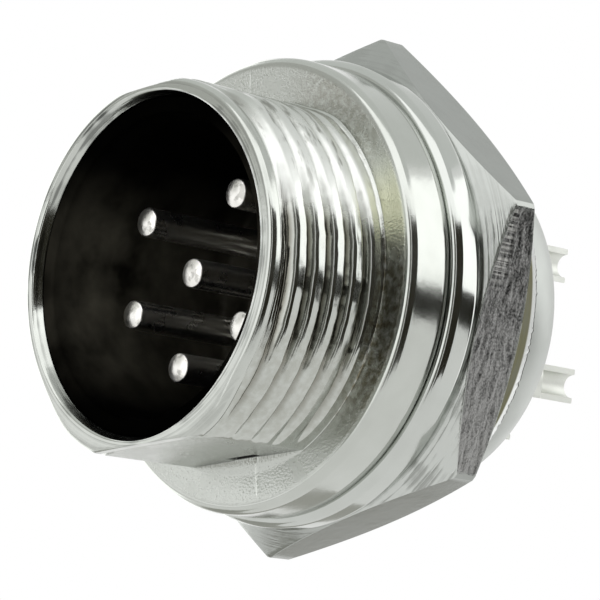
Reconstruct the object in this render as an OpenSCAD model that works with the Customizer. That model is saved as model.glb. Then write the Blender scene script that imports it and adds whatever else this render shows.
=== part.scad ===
// Panel-mount circular connector with six pin contacts, clamped in a panel hole by a washer and a hex nut.
// The axis lies along Y: the mouth faces -Y and the solder side faces +Y.
// The origin is on the axis, on the flange face that seats against the panel.

/* [Shell] */
// Outside diameter of the front and rear threads
thread_d = 15.8; // [15:0.1:17]
// Wall of the front barrel, from its bore to the thread crest
barrel_wall = 1.1; // [0.9:0.05:1.3]
// Length of the front barrel, from the mouth to the flange
front_l = 5.6; // [5:0.1:9]
// Length of the plain rim at the mouth
rim_l = 0.5; // [0.3:0.05:1]
// Step from the thread crest down to the rim
rim_step = 0.4; // [0.2:0.05:0.6]
// Rounding of the rim's outer edge
rim_round = 0.25; // [0.1:0.05:0.35]
// Bevel of the rim's inner edge
mouth_bevel = 0.36; // [0.1:0.02:0.5]
// Depth of the two casting flats below the thread crest
flat_depth = 0.7; // [0.3:0.05:0.9]
// How far the flange stands out past the thread crest
flange_w = 1.5; // [1.3:0.1:3]
// Thickness of the flange
flange_t = 2.1; // [1.2:0.1:3]
// Rounding of the flange's front edge
flange_round = 0.35; // [0.1:0.05:0.5]
// Bevel of the flange's rear edge
flange_bevel = 0.1; // [0.05:0.05:0.3]
// Fillet between the front barrel and the flange
flange_fillet = 0.25; // [0.1:0.05:0.4]
// Length of the rear thread, from the flange
rear_thread_l = 5.9; // [5.5:0.1:9]
// Length of the rounded end behind the rear thread
dome_l = 3.4; // [2.5:0.1:5]
// How far the rounded end curves in from the thread crest
dome_w = 2; // [1:0.1:2.2]
// Wall of the rounded end at its opening
dome_wall = 0.6; // [0.4:0.05:0.8]

/* [Insulator] */
// Depth of the cup's edge below the mouth
cup_recess = 0.4; // [0.3:0.1:2]
// Wall of the cup
cup_wall = 0.6; // [0.4:0.05:1]
// Depth of the cup's floor below the mouth
floor_depth = 9.8; // [8:0.1:11]
// Thickness of the base ahead of the shoulder it seats on
seat_t = 1.6; // [1:0.1:2.5]
// Depth of the base's back face below the shell's rear end
back_recess = 0.4; // [0.1:0.1:1]
// Radial clearance of the insulator in the shell
insulator_clearance = 0.02; // [0.01:0.01:0.05]

/* [Contacts] */
// Web of insulator between the outer solder cups and the shell
contact_web = 0.7; // [0.4:0.05:1]
// Angle of contact 1 round the axis, from +X towards +Z
first_contact_angle = 47.7; // [0:0.1:360]
// Angle from contact 1 to its neighbour on each side
wide_gap_angle = 90; // [80:1:95]
// Diameter of the pins
pin_d = 1.2; // [0.8:0.05:1.5]
// Diameter of the pin's root in the insulator
root_d = 1.7; // [1.55:0.05:1.8]
// Height of the root's cone above the cup's floor
root_rise = 0.2; // [0.1:0.05:0.4]
// Rounding of the pin tips
tip_round = 0.2; // [0.1:0.05:0.4]
// Depth of the pin tips below the mouth
tip_depth = 2.45; // [1:0.05:4]
// Depth of the contact's shoulder below the cup's floor
shoulder_depth = 2; // [1:0.1:3]
// Outside diameter of the solder cups
solder_d = 1.5; // [1.3:0.05:1.5]
// Bore of the solder cups
solder_bore_d = 1; // [0.7:0.05:1.1]
// Depth of the solder bore from the contact's end
solder_depth = 4; // [3:0.1:5]
// Length over which one half of a solder cup is cut away
scoop_l = 2.8; // [1:0.1:3]
// Side that the solder cups open to, from +X towards +Z
cup_angle = -10; // [-180:5:180]
// Reach of the solder cups past the shell's rear end
solder_reach = 5.25; // [5:0.05:8]
// Radial clearance of the contacts in the insulator
contact_clearance = 0.02; // [0.01:0.01:0.05]

/* [Washer] */
// How far the washer's edge stands out past the flange
washer_overhang = 0.35; // [0:0.05:0.5]
// Thickness of the washer
washer_t = 1.42; // [0.8:0.02:1.6]
// Rounding of the washer's outer edges
washer_round = 0.4; // [0.1:0.05:0.4]
// Radial clearance of the washer on the thread
washer_clearance = 0.08; // [0.05:0.01:0.15]

/* [Hex nut] */
// Wall of the nut at its flats, beyond the thread crest
nut_wall = 1.72; // [1.3:0.02:3]
// Thickness of the nut
nut_t = 4.5; // [3.5:0.05:5.5]
// Angle of a corner round the axis, from +X towards +Z
nut_corner_angle = 11.8; // [0:0.1:60]
// How far the front face stops short of the flats
nut_front_inset = 0.2; // [0.1:0.05:0.8]
// Angle of the front chamfer from the face
nut_front_angle = 26; // [15:1:40]
// How far the foot of the tapered collar behind the hexagon stops short of the flats
nut_collar_inset = 0.12; // [0.06:0.02:0.6]
// Length of the collar with its lip
nut_collar_l = 1.85; // [1:0.05:2.2]
// How far the collar narrows from its foot to the lip
nut_collar_draft = 0.6; // [0.1:0.05:0.7]
// Length of the lip at the collar's end
nut_lip_l = 0.65; // [0.2:0.05:0.9]
// How far the lip narrows towards the rear face
nut_lip_draft = 0.3; // [0.05:0.05:0.4]
// Angle of the rear chamfer, outside the collar, from the face
nut_rear_angle = 27; // [15:1:40]
// How far the corners are turned down
corner_trim = 0.06; // [0.02:0.02:0.3]
// Chamfer at both ends of the nut's bore
nut_bore_chamfer = 0.3; // [0.1:0.05:0.4]
// Radial running clearance of the nut on the thread
nut_clearance = 0.05; // [0.02:0.01:0.1]
// Gap on each side of the washer at rest
stack_gap = 0.04; // [0.02:0.01:0.1]

/* [Hidden] */
$fn = 96;
CONTACTS = 6;

thread_r = thread_d / 2;
bore_r = thread_r - barrel_wall;
rim_r = thread_r - rim_step;
flat_z = thread_r - flat_depth;
flange_r = thread_r + flange_w;
mouth_y = -flange_t - front_l;
dome_end_r = thread_r - dome_w;
rear_end_y = rear_thread_l + dome_l;
rear_bore_r = dome_end_r - dome_wall;
floor_y = mouth_y + floor_depth;
shoulder_y = floor_y + seat_t;
back_y = rear_end_y - back_recess;
cup_r = bore_r - insulator_clearance;
plug_r = rear_bore_r - insulator_clearance;
solder_end_y = rear_end_y + solder_reach;
contact_r = plug_r - contact_web - solder_d / 2;
narrow_gap_angle = (360 - 2 * wide_gap_angle) / 3;
washer_y = stack_gap;
nut_y = washer_y + washer_t + stack_gap;
nut_flat_r = thread_r + nut_wall;
nut_corner_r = nut_flat_r / cos(30);
overcut = 1;
sheen = [0.78, 0.78, 0.76];
mould_black = [0.06, 0.06, 0.06];

// Clock angles of the outer contacts: two wide gaps beside contact 1, three even ones opposite
function contact_angle(i) =
    first_contact_angle + (i == 0 ? 0 : wide_gap_angle + (i - 1) * narrow_gap_angle);

// Points along a round edge of a profile, about (cx, cy), from one angle to another
// A stretch over 1 makes the edge longer along the axis
function round_edge(cx, cy, r, from, to, steps = 6, stretch = 1) =
    [for (i = [0:steps]) let (a = from + (to - from) * i / steps) [cx + r * cos(a), cy + stretch * r * sin(a)]];

// Turns a profile of [radius, place along the axis] into a solid round the Y axis
module turned(profile) {
    rotate([-90, 0, 0]) rotate_extrude() polygon(profile);
}

// A straight round bar or hole along Y
module bar(r, from_y, to_y) {
    translate([0, from_y, 0]) rotate([-90, 0, 0]) cylinder(r = r, h = to_y - from_y);
}

// The casting halves meet on flats at top and bottom of a barrel
module casting_flats(from_y, to_y) {
    for (side = [0, 1]) mirror([0, 0, side])
        translate([-thread_r, from_y, flat_z]) cube([thread_d, to_y - from_y, flat_depth + overcut]);
}

module shell() {
    color(sheen) difference() {
        turned(concat(
            [[bore_r, mouth_y + mouth_bevel], [bore_r + mouth_bevel, mouth_y]],
            round_edge(rim_r - rim_round, mouth_y + rim_round, rim_round, 270, 360),
            [[rim_r, mouth_y + rim_l], [thread_r, mouth_y + rim_l + rim_step]],
            round_edge(thread_r + flange_fillet, -flange_t - flange_fillet, flange_fillet, 180, 90),
            round_edge(flange_r - flange_round, flange_round - flange_t, flange_round, 270, 360),
            [[flange_r, -flange_bevel], [flange_r - flange_bevel, 0], [thread_r, 0]],
            round_edge(dome_end_r, rear_thread_l, dome_w, 0, 90, 14, dome_l / dome_w),
            [[rear_bore_r, rear_end_y], [rear_bore_r, shoulder_y], [bore_r, shoulder_y]]));
        casting_flats(mouth_y - overcut, -flange_t);
        casting_flats(0, rear_end_y + overcut);
    }
}

module insulator() {
    color(mould_black) difference() {
        turned([[0, floor_y], [cup_r - cup_wall, floor_y], [cup_r - cup_wall, mouth_y + cup_recess],
                [cup_r, mouth_y + cup_recess], [cup_r, shoulder_y], [plug_r, shoulder_y],
                [plug_r, back_y], [0, back_y]]);
        for (i = [0:CONTACTS - 1]) at_contact(i) {
            bar(root_d / 2 + contact_clearance, floor_y - overcut, floor_y + shoulder_depth);
            bar(solder_d / 2 + contact_clearance, floor_y, back_y + overcut);
        }
    }
}

// Places its children on contact i, with +X turned to the side that the solder cups open to.
// The last contact is the one in the middle.
module at_contact(i) {
    out = i == CONTACTS - 1 ? 0 : contact_r;
    angle = contact_angle(i);
    translate([out * cos(angle), 0, out * sin(angle)]) rotate([0, -cup_angle, 0]) children();
}

module contact(i) {
    pin_r = pin_d / 2;
    root_r = root_d / 2;
    solder_r = solder_d / 2;
    tip_y = mouth_y + tip_depth;
    seat_y = floor_y + shoulder_depth;
    scoop_y = solder_end_y - scoop_l;
    color(sheen) at_contact(i) difference() {
        turned(concat([[0, tip_y]],
                      round_edge(pin_r - tip_round, tip_y + tip_round, tip_round, 270, 360),
                      [[pin_r, floor_y - root_rise], [root_r, floor_y], [root_r, seat_y]],
                      [[solder_r, seat_y], [solder_r, solder_end_y], [0, solder_end_y]]));
        bar(solder_bore_d / 2, solder_end_y - solder_depth, solder_end_y + overcut);
        // One half of the cup is cut away along a slope and then a straight edge
        translate([0, 0, -solder_r - overcut])
            linear_extrude(solder_d + 2 * overcut)
                polygon([[0, scoop_y + solder_r], [solder_r + overcut, scoop_y - overcut],
                         [solder_r + overcut, solder_end_y + overcut], [0, solder_end_y + overcut]]);
    }
}

module washer() {
    inner_r = thread_r + washer_clearance;
    outer_r = flange_r + washer_overhang;
    end_y = washer_y + washer_t;
    color(sheen) turned(concat(
        [[inner_r, washer_y]],
        round_edge(outer_r - washer_round, washer_y + washer_round, washer_round, 270, 360),
        round_edge(outer_r - washer_round, end_y - washer_round, washer_round, 0, 90),
        [[inner_r, end_y]]));
}

module hex_nut() {
    bore = thread_r + nut_clearance;
    front_r = nut_flat_r - nut_front_inset;
    collar_r = nut_flat_r - nut_collar_inset;
    lip_r = collar_r - nut_collar_draft;
    rear_r = lip_r - nut_lip_draft;
    trim_r = nut_corner_r - corner_trim;
    end_y = nut_y + nut_t;
    collar_y = end_y - nut_collar_l;
    color(sheen) difference() {
        intersection() {
            rotate([0, -nut_corner_angle, 0]) translate([0, nut_y, 0]) rotate([-90, 0, 0])
                cylinder(r = nut_corner_r, h = nut_t, $fn = 6);
            turned([[0, nut_y], [front_r, nut_y],
                    [trim_r, nut_y + (trim_r - front_r) * tan(nut_front_angle)],
                    [trim_r, collar_y - (trim_r - collar_r) * tan(nut_rear_angle)],
                    [collar_r, collar_y], [lip_r, end_y - nut_lip_l], [rear_r, end_y], [0, end_y]]);
        }
        turned([[0, nut_y - overcut], [bore + nut_bore_chamfer + overcut, nut_y - overcut],
                [bore, nut_y + nut_bore_chamfer], [bore, end_y - nut_bore_chamfer],
                [bore + nut_bore_chamfer + overcut, end_y + overcut], [0, end_y + overcut]]);
    }
}

shell();
insulator();
contact(0);  // contact_1
contact(1);  // contact_2
contact(2);  // contact_3
contact(3);  // contact_4
contact(4);  // contact_5
contact(5);  // contact_6
washer();
hex_nut();
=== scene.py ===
# %% [markdown]
# # A panel-mount microphone connector
#
# The real object is a plated metal shell with a thread at each end, a black moulded cup
# that holds six pins, a washer and a hex nut that clamps it all to a panel.
# The CAD model already fixes every size and place. This lesson dresses it: each piece gets
# a finer mesh, a finish that follows the real material, and the light of a small studio.
# All lengths below are in millimetres until they reach a mesh, which is in metres.

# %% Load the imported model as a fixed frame
import math

import bmesh
import bpy
import numpy as np
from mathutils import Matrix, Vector, noise


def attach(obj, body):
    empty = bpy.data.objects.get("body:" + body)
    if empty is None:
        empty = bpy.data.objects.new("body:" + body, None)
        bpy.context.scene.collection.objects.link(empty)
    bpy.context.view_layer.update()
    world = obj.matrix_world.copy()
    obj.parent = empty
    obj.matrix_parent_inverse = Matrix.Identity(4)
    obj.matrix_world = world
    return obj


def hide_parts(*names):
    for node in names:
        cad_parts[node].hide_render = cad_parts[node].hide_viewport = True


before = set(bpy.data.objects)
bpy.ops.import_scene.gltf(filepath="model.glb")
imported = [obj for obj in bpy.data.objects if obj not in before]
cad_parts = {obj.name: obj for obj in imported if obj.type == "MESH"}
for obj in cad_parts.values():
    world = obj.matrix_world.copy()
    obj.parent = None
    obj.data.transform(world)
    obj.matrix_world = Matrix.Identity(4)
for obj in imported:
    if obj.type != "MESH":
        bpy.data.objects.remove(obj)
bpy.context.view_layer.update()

MM = 0.001
scene = bpy.context.scene
scene.view_settings.view_transform = "Standard"

# %% [markdown]
# ## The camera
#
# The photograph was taken from the right of the mouth and a little below the axis, with a
# long lens, so that the rim looks almost like a true ellipse. The place comes from matching
# the rim, the pin tips and the nut's corners. A constraint could aim the camera,
# but a plain rotation keeps the view the same when the script is rerun.

# %% Camera
CAMERA_PLACE = Vector((88.12, -82.67, -25.52))
CAMERA_AIM = Vector((0.507, 0.355, -0.395))

lens = bpy.data.cameras.new("photo_lens")
lens.lens = 180
lens.sensor_width = 36
lens.clip_start = MM
camera = bpy.data.objects.new("photo_camera", lens)
camera.location = CAMERA_PLACE * MM
camera.rotation_euler = (CAMERA_AIM - CAMERA_PLACE).to_track_quat("-Z", "Y").to_euler()
scene.collection.objects.link(camera)
scene.camera = camera
print("camera distance in mm:", round((CAMERA_AIM - CAMERA_PLACE).length, 1))

# %% [markdown]
# ## Two small helpers
#
# Colours are written as the sRGB hex values that a paint program shows, and Blender's
# shaders want linear light, so one function turns the first into the second.
# Shader trees and Geometry Nodes trees are both just nodes with settings and links,
# so one other function adds a node of any kind.

# %% Colour and node helpers
def linear(hex_colour):
    channels = [int(hex_colour[i:i + 2], 16) / 255 for i in (1, 3, 5)]
    return [c / 12.92 if c <= 0.04045 else ((c + 0.055) / 1.055) ** 2.4 for c in channels] + [1.0]


def add_node(tree, kind, inputs=None, **settings):
    node = tree.nodes.new(kind)
    for name, value in settings.items():
        setattr(node, name, value)
    for key, value in (inputs or {}).items():
        if isinstance(value, bpy.types.NodeSocket):
            tree.links.new(value, node.inputs[key])
        else:
            node.inputs[key].default_value = value
    return node


print("mid grey in linear light:", round(linear("#808080")[0], 3))

# %% [markdown]
# ## The studio
#
# Polished metal has hardly any colour of its own: it shows the room. A product photographer
# stands the part on a pale sweep, lights it softly, and then places white cards and dark
# flags round it until each curve shows an edge. The same is done here. The world is white,
# two soft lamps give the matt parts their light and the floor its shadow, and curved cards,
# which only reflections can see, shape the metal.

# %% White world
ROOM_LIGHT = 0.7

world = bpy.data.worlds.new("white_sweep")
scene.world = world
world.use_nodes = True
world_tree = world.node_tree
world_tree.nodes.clear()
ray = add_node(world_tree, "ShaderNodeLightPath").outputs
seen_or_glossy = add_node(world_tree, "ShaderNodeMath", {
    0: ray["Is Camera Ray"], 1: ray["Is Glossy Ray"]}, operation="MAXIMUM")
shows_white = add_node(world_tree, "ShaderNodeMath", {
    0: seen_or_glossy.outputs[0], 1: ray["Is Transmission Ray"]}, operation="MAXIMUM")
room, backdrop = [
    add_node(world_tree, "ShaderNodeBackground", {"Color": linear("#FFFFFF"), "Strength": strength})
    for strength in (ROOM_LIGHT, 1.0)]
world_mix = add_node(world_tree, "ShaderNodeMixShader", {
    0: shows_white.outputs[0], 1: room.outputs[0], 2: backdrop.outputs[0]})
add_node(world_tree, "ShaderNodeOutputWorld", {"Surface": world_mix.outputs[0]})
print("world made:", world.name)

# %% Floor
FLOOR_Z = -45.0
FLOOR_REACH = 900.0
FLOOR_LIFT = 0.6

floor_mesh = bpy.data.meshes.new("pale_floor")
floor_mesh.from_pydata([(x * FLOOR_REACH * MM, y * FLOOR_REACH * MM, FLOOR_Z * MM)
                        for x, y in ((-1, -1), (1, -1), (1, 1), (-1, 1))], [], [(0, 1, 2, 3)])
floor = bpy.data.objects.new("pale_floor", floor_mesh)
scene.collection.objects.link(floor)

floor_finish = bpy.data.materials.new("matt_white_card")
floor_finish.use_nodes = True
floor_tree = floor_finish.node_tree
floor_shader = floor_tree.nodes["Principled BSDF"]
floor_shader.inputs["Base Color"].default_value = linear("#F3F3F1")
floor_shader.inputs["Roughness"].default_value = 0.9
# The card is lifted towards white for the camera and for reflections, and still takes a shadow
floor_ray = add_node(floor_tree, "ShaderNodeLightPath").outputs
floor_seen = add_node(floor_tree, "ShaderNodeMath", {
    0: floor_ray["Is Camera Ray"], 1: floor_ray["Is Glossy Ray"]}, operation="MAXIMUM")
floor_lift = add_node(floor_tree, "ShaderNodeMath", {
    0: floor_seen.outputs[0], 1: FLOOR_LIFT}, operation="MULTIPLY")
floor_glow = add_node(floor_tree, "ShaderNodeEmission", {"Color": linear("#FFFFFF"), "Strength": 1.0})
floor_mix = add_node(floor_tree, "ShaderNodeMixShader", {
    0: floor_lift.outputs[0], 1: floor_shader.outputs[0], 2: floor_glow.outputs[0]})
floor_tree.links.new(floor_mix.outputs[0], floor_tree.nodes["Material Output"].inputs["Surface"])
floor_mesh.materials.append(floor_finish)
print("floor at", FLOOR_Z, "mm")

# %% Directions and lamps
LAMP_DISTANCE = 320


def direction(azimuth, elevation):
    # Azimuth 0 is on the mouth's side of the part and 90 on its right
    a, e = math.radians(azimuth), math.radians(elevation)
    return Vector((math.sin(a) * math.cos(e), -math.cos(a) * math.cos(e), math.sin(e)))


for lamp_name, azimuth, elevation, side, watts in (
        ("left_softbox", -95, 32, 200, 0.34), ("rear_softbox", 140, 38, 160, 0.16)):
    lamp = bpy.data.lights.new(lamp_name, "AREA")
    lamp.size = side * MM
    lamp.energy = watts
    lamp_object = bpy.data.objects.new(lamp_name, lamp)
    lamp_object.location = direction(azimuth, elevation) * LAMP_DISTANCE * MM
    lamp_object.rotation_euler = (-lamp_object.location).to_track_quat("-Z", "Y").to_euler()
    lamp_object.visible_glossy = False
    scene.collection.objects.link(lamp_object)
    print("lamp made:", lamp_name)

# %% Cards
# Name, azimuths, elevations, distance, colour and strength of what the metal sees there
CARDS = (
    ("left_white_card", (-121, -70), (-20, 50), 95, "#FFFFFF", 1.9),
    ("right_white_card", (66, 176), (-3, 37), 95, "#FFFFFF", 1.8),
    ("right_dark_flag", (112, 151), (-13, -1), 62, "#25251F", 1.0),
    ("right_tall_flag", (43, 112), (-36, 23), 62, "#302E26", 1.0),
    ("front_grey_flag", (17, 35), (-30, 24), 90, "#6E6E68", 1.0),
    ("upper_front_card", (-14, 76), (17, 60), 95, "#FFFFFF", 1.6),
    ("front_white_card", (-20, 20), (-16, 17), 95, "#FFFFFF", 1.45),
    ("front_left_scrim", (-56, -20), (14.5, 46), 96, "#C9CAC6", 1.0),
    ("front_left_card", (-60, -34), (-6, 14.5), 96, "#FFFFFF", 1.2),
    ("overhead_scrim", (-180, 180), (40, 90), 110, "#E4E6E4", 1.0),
    ("low_left_flag", (-152, -62), (-46, -30), 60, "#B2B2AC", 1.0),
    ("low_rear_card", (160, 205), (-30, -2), 95, "#FFFFFF", 1.4),
)
ACROSS, UP = 33, 13

card_faces = [(row * ACROSS + i, row * ACROSS + i + 1, (row + 1) * ACROSS + i + 1, (row + 1) * ACROSS + i)
              for row in range(UP - 1) for i in range(ACROSS - 1)]
for card_name, azimuths, elevations, distance, colour, strength in CARDS:
    card_mesh = bpy.data.meshes.new(card_name)
    card_mesh.from_pydata([direction(a, e) * distance * MM for e in np.linspace(*elevations, UP)
                           for a in np.linspace(*azimuths, ACROSS)], [], card_faces)
    card = bpy.data.objects.new(card_name, card_mesh)
    for kind in ("camera", "diffuse", "shadow", "transmission", "volume_scatter"):
        setattr(card, "visible_" + kind, False)
    scene.collection.objects.link(card)
    card_finish = bpy.data.materials.new(card_name)
    card_finish.use_nodes = True
    card_tree = card_finish.node_tree
    card_glow = add_node(card_tree, "ShaderNodeEmission", {"Color": linear(colour), "Strength": strength})
    card_tree.links.new(card_glow.outputs[0], card_tree.nodes["Material Output"].inputs["Surface"])
    card_mesh.materials.append(card_finish)
print("cards:", len(CARDS))

# %% [markdown]
# ## Nickel on a zinc casting
#
# The shell is die-cast zinc with a bright nickel plate. Nickel is a light grey metal.
# The plate copies the casting under it, so the eye sees a soft mirror with a fine orange
# peel, a speckle on the faces that were never machined, turning lines on the rim, a few
# dark nicks, and residue with painted shade at the bottom of the thread. Noise textures in
# real sizes drive all of that, and attributes of the mesh say where each one belongs. Dirt,
# film, wear and painted shade are coats over the bare metal, listed from the lowest to the topmost.

# %% What the plated metals share
def plated_metal(name, bright, dull, roughness, grain_mm, grain_height_mm):
    material = bpy.data.materials.new(name)
    material.use_nodes = True
    tree = material.node_tree
    shader = tree.nodes["Principled BSDF"]
    shader.inputs["Metallic"].default_value = 1.0
    place = add_node(tree, "ShaderNodeTexCoord").outputs["Object"]
    # Patches about 1.5 mm across, where the plate is a little thicker or thinner
    patches = add_node(tree, "ShaderNodeTexNoise", {
        "Vector": place, "Scale": 1 / (1.5 * MM), "Detail": 4.0}).outputs["Fac"]
    tint = add_node(tree, "ShaderNodeMix", {
        "Factor": patches, "A": linear(bright), "B": linear(dull)}, data_type="RGBA").outputs["Result"]
    tree.links.new(tint, shader.inputs["Base Color"])
    rough = add_node(tree, "ShaderNodeMapRange", {
        "Value": patches, "From Min": 0.3, "From Max": 0.7,
        "To Min": roughness[0], "To Max": roughness[1]}).outputs["Result"]
    tree.links.new(rough, shader.inputs["Roughness"])
    grain = add_node(tree, "ShaderNodeTexNoise", {
        "Vector": place, "Scale": 1 / (grain_mm * MM), "Detail": 3.0}).outputs["Fac"]
    bump = add_node(tree, "ShaderNodeBump", {
        "Height": grain, "Strength": 1.0, "Distance": grain_height_mm * MM}).outputs["Normal"]
    tree.links.new(bump, shader.inputs["Normal"])
    return material, tree, shader, place, tint, rough, bump


def turned_lines(tree, place, spacing_mm):
    # Lines that depend only on the distance from the axis, as a tool leaves them, with worn gaps
    level = add_node(tree, "ShaderNodeVectorMath", {
        0: place, 1: (1.0, 0.0, 1.0)}, operation="MULTIPLY").outputs[0]
    radius = add_node(tree, "ShaderNodeVectorMath", {0: level}, operation="LENGTH").outputs["Value"]
    lines = add_node(tree, "ShaderNodeTexNoise", {
        "W": radius, "Scale": 1 / (spacing_mm * MM), "Detail": 3.0}, noise_dimensions="1D").outputs["Fac"]
    worn = add_node(tree, "ShaderNodeTexNoise", {
        "Vector": place, "Scale": 1 / (1.4 * MM), "Detail": 2.0}).outputs["Fac"]
    both = add_node(tree, "ShaderNodeMath", {0: lines, 1: worn}, operation="ADD").outputs[0]
    return add_node(tree, "ShaderNodeMapRange", {
        "Value": both, "From Min": 0.94, "From Max": 1.16}).outputs["Result"]


def coated(tree, shader, tint, rough, coats):
    # Each coat has two shares, a colour and what it adds to the roughness.
    # It shows where both shares are high.
    for first, second, colour, rougher in coats:
        share = add_node(tree, "ShaderNodeMath", {0: first, 1: second}, operation="MULTIPLY").outputs[0]
        over = linear(colour) if isinstance(colour, str) else colour
        tint = add_node(tree, "ShaderNodeMix", {
            "Factor": share, "A": tint, "B": over}, data_type="RGBA").outputs["Result"]
        if rougher:
            rough = add_node(tree, "ShaderNodeMath", {
                0: share, 1: rougher, 2: rough}, operation="MULTIPLY_ADD").outputs[0]
    tree.links.new(tint, shader.inputs["Base Color"])
    tree.links.new(rough, shader.inputs["Roughness"])


print("shared finishes: plated metal, turned lines and coats")

# %% Casting finish
FLAT_Z = 7.2

(casting, casting_tree, casting_shader, casting_place,
 casting_tint, casting_rough, casting_peel) = plated_metal(
    "nickel_on_zinc_casting", "#C8CBC6", "#BBBEB8", (0.11, 0.2), 0.45, 0.004)
as_cast, turned, groove, nicked, satin, pale_film, dark_film, scuffed, shadowed = [
    add_node(casting_tree, "ShaderNodeAttribute", attribute_name=name).outputs["Fac"]
    for name in (
        "as_cast", "turned", "groove", "nicked", "satin", "pale_film", "dark_film", "scuffed", "shadowed")]

# Nicks over 1 mm long follow the crests, so their noise is drawn out round the axis
along_crest = add_node(casting_tree, "ShaderNodeVectorMath", {
    0: casting_place, 1: (0.42, 2.2, 0.42)}, operation="MULTIPLY").outputs[0]
# Cast speckle in grains of about 0.1 mm, nicks, and blots of about 0.3 mm in the film
speckle, nicks, blots = [
    add_node(casting_tree, "ShaderNodeTexNoise", {
        "Vector": place, "Scale": 1 / (grain * MM), "Detail": detail}).outputs["Fac"]
    for place, grain, detail in (
        (casting_place, 0.1, 3.0), (along_crest, 0.55, 4.0), (casting_place, 0.3, 5.0))]
# Turning lines on the rim: really about 0.05 mm apart, drawn at 0.1 mm so that they show
rim_lines = turned_lines(casting_tree, casting_place, 0.1)

# Speckle stands only on faces that the die left and no tool touched, and lines only where a tool has been
speckle_height, line_height = [
    add_node(casting_tree, "ShaderNodeMath", {0: pattern, 1: where}, operation="MULTIPLY").outputs[0]
    for pattern, where in ((speckle, as_cast), (rim_lines, turned))]
casting_normal = casting_peel
for height, depth in ((speckle_height, 0.026), (line_height, 0.006)):
    casting_normal = add_node(casting_tree, "ShaderNodeBump", {
        "Height": height, "Distance": depth * MM, "Normal": casting_normal}).outputs["Normal"]
casting_tree.links.new(casting_normal, casting_shader.inputs["Normal"])

casting_height = add_node(casting_tree, "ShaderNodeSeparateXYZ", {"Vector": casting_place}).outputs["Z"]
# Each share rises from 0 to its top between two values
residue_and_groove_shade, nick, blot, pit, above_flat = [
    add_node(casting_tree, "ShaderNodeMapRange", {
        "Value": value, "From Min": start, "From Max": stop, "To Max": top}).outputs["Result"]
    for value, start, stop, top in (
        (groove, 0.2, 0.7, 0.7), (nicks, 0.57, 0.68, 0.65),
        (blots, 0.3, 0.6, 1.0), (speckle, 0.6, 0.72, 0.45),
        (casting_height, -FLAT_Z * MM, (0.05 - FLAT_Z) * MM, 1.0))]
cast_rough = add_node(casting_tree, "ShaderNodeMath", {
    0: as_cast, 1: 0.1, 2: casting_rough}, operation="MULTIPLY_ADD").outputs[0]
coated(casting_tree, casting_shader, casting_tint, cast_rough, (
    (residue_and_groove_shade, 1.0, "#5A5444", 0),  # residue and painted shade at the bottom of the thread, darker where the cut is deeper
    (scuffed, 1.0, "#E2E4E0", 0.2),  # plugs have scuffed the upper right of the thread
    (nick, nicked, "#6B6B62", 0),  # nicks and stains on the crests
    (line_height, 1.5, "#585A57", 0),  # turning lines
    (pale_film, 0.7, "#DCDCBC", 0),  # handling left a pale olive film on the flange's face
    (blot, dark_film, "#77725F", 0),  # a darker, blotted film below it, and painted shade on the face next to the barrel and in its corner
    (pit, as_cast, "#4A4840", 0),  # dirt in the gas pits of the cast faces
    (above_flat, shadowed, "#0C0C0B", 0),  # painted shadow in the slit below the barrel, up to the flat that it lies in
    (satin, 1.0, "#ABAEAA", 0.26)))  # the satin plate of the rounded rear end
print("finish made:", casting.name)

# %% [markdown]
# ## Sweeping a profile round the axis
#
# Every piece here was turned or cast round one axis, so the base mesh of each is a profile
# of radius and place along Y, swept round. Blender's Screw modifier could do it,
# but a grid written out in code gives even quads and lets each row carry an attribute.

# %% Profile and grid helpers
def rounded(centre_r, centre_y, radius, start, stop, steps, stretch=1.0):
    # Points along a round edge, in degrees, as the CAD model's profiles have them
    turns = np.radians(np.linspace(start, stop, steps + 1))
    return [(centre_r + radius * math.cos(t), centre_y + stretch * radius * math.sin(t)) for t in turns]


def straight(start, stop, steps):
    # Points from start up to, but not including, stop
    return [tuple(start[i] + (stop[i] - start[i]) * k / steps for i in (0, 1)) for k in range(steps)]


def swept(profile, angles):
    radius, along = np.array(profile, float).T
    turn = np.radians(angles)
    return np.stack([np.outer(radius, np.cos(turn)), np.repeat(along[:, None], len(turn), 1),
                     np.outer(radius, np.sin(turn))], axis=-1)


def grid_object(name, places, closed_profile=True):
    # Rows run along the profile and columns round the axis. A row on the axis becomes one point.
    rows, columns = places.shape[:2]
    pairs = [(row, (row + 1) % rows) for row in range(rows if closed_profile else rows - 1)]
    faces = [(low * columns + i, low * columns + (i + 1) % columns, high * columns + (i + 1) % columns,
              high * columns + i) for low, high in pairs for i in range(columns)]
    mesh = bpy.data.meshes.new(name)
    mesh.from_pydata((places.reshape(-1, 3) * MM).tolist(), [], faces)
    work = bmesh.new()
    work.from_mesh(mesh)
    if not closed_profile:
        bmesh.ops.remove_doubles(work, verts=work.verts, dist=1e-5 * MM)
    bmesh.ops.recalc_face_normals(work, faces=work.faces)
    work.to_mesh(mesh)
    work.free()
    mesh.shade_smooth()
    made = bpy.data.objects.new(name, mesh)
    scene.collection.objects.link(made)
    return made


def add_attribute(made, name, values):
    attribute = made.data.attributes.new(name, "FLOAT", "POINT")
    attribute.data.foreach_set("value", np.asarray(values, np.float32).ravel())


def settle(made):
    # Turns the object with its modifiers into a plain mesh
    bpy.context.view_layer.update()
    plain = bpy.data.meshes.new_from_object(made.evaluated_get(bpy.context.evaluated_depsgraph_get()))
    made.modifiers.clear()
    made.data = plain
    plain.name = made.name
    print(made.name, "has", sum(len(face.vertices) - 2 for face in plain.polygons), "triangles")


def dress(made, body, slot, *nodes):
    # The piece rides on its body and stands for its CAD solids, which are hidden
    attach(made, body)
    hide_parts(*nodes)


def ramp(values, start, stop):
    # 0 before start, 1 after stop, smooth between them
    share = np.clip((np.asarray(values, float) - start) / (stop - start), 0, 1)
    return share * share * (3 - 2 * share)


print("a ramp is half way up at", float(ramp(0.5, 0, 1)))

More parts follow.
